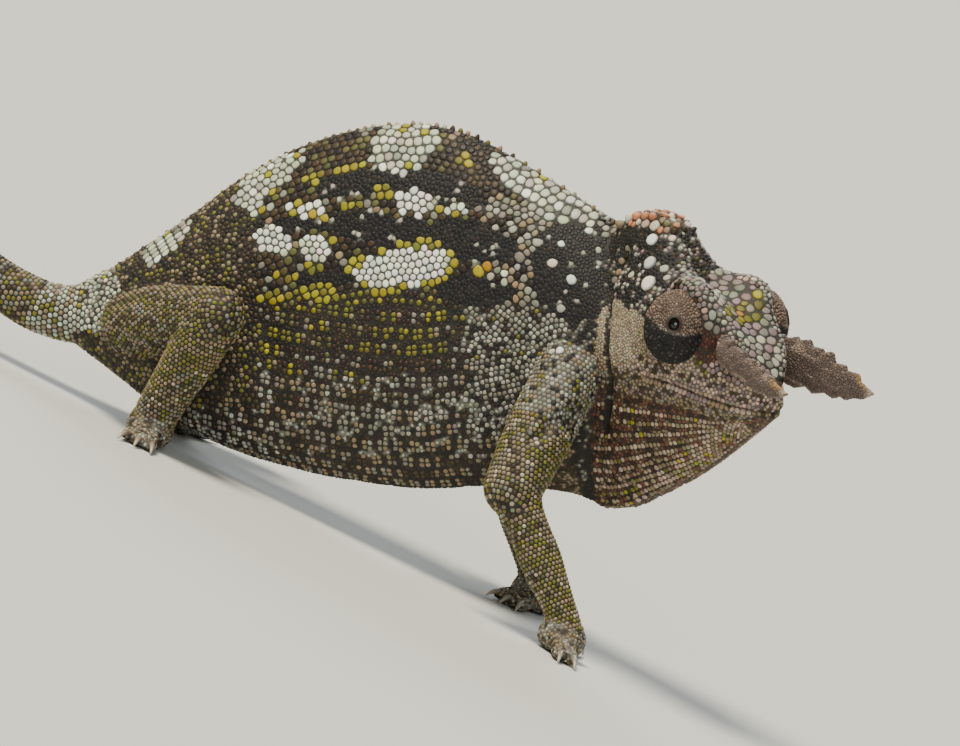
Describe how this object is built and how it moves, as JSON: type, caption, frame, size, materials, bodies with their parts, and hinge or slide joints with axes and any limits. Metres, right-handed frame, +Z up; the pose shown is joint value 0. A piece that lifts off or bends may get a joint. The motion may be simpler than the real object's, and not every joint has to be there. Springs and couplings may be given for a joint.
{
  "type": "kilimanjaro two-horned chameleon",
  "caption": "Still life-size model of a male two-horned chameleon, walking, head turned to its right, tail tip coiled.",
  "frame": {"origin": "middle of the model's box at the floor on which the soles and the tail's coil rest", "axes": "+X along the animal towards its head, +Y to its left, +Z up"},
  "size_m": [0.138, 0.0422, 0.051],
  "materials": {
    "skin": "scaly lizard skin, dark brown with pale, olive-yellow and white scales",
    "horn": "rough mauve-grey scales with ochre teeth",
    "claw": "smooth pale horn",
    "eye": "wet gloss"
  },
  "bodies": {
    "root": {"torso_rear": "skin", "torso_front": "skin", "neck": "skin", "head": "skin", "lower_jaw": "skin", "throat": "skin", "eye_turret_right": "skin", "eye_turret_left": "skin", "eye_right": "eye", "eye_left": "eye", "horn_right": "horn", "horn_left": "horn", "foreleg_right_upper": "skin", "foreleg_right_lower": "skin", "foreleg_right_foot": "skin", "foreleg_left_upper": "skin", "foreleg_left_lower": "skin", "foreleg_left_foot": "skin", "hindleg_right_upper": "skin", "hindleg_right_lower": "skin", "hindleg_right_foot": "skin", "hindleg_left_upper": "skin", "hindleg_left_lower": "skin", "hindleg_left_foot": "skin", "tail_1": "skin", "tail_2": "skin", "tail_3": "skin", "tail_4": "skin", "tail_5": "skin", "tail_6": "skin"}
  },
  "joints": []
}
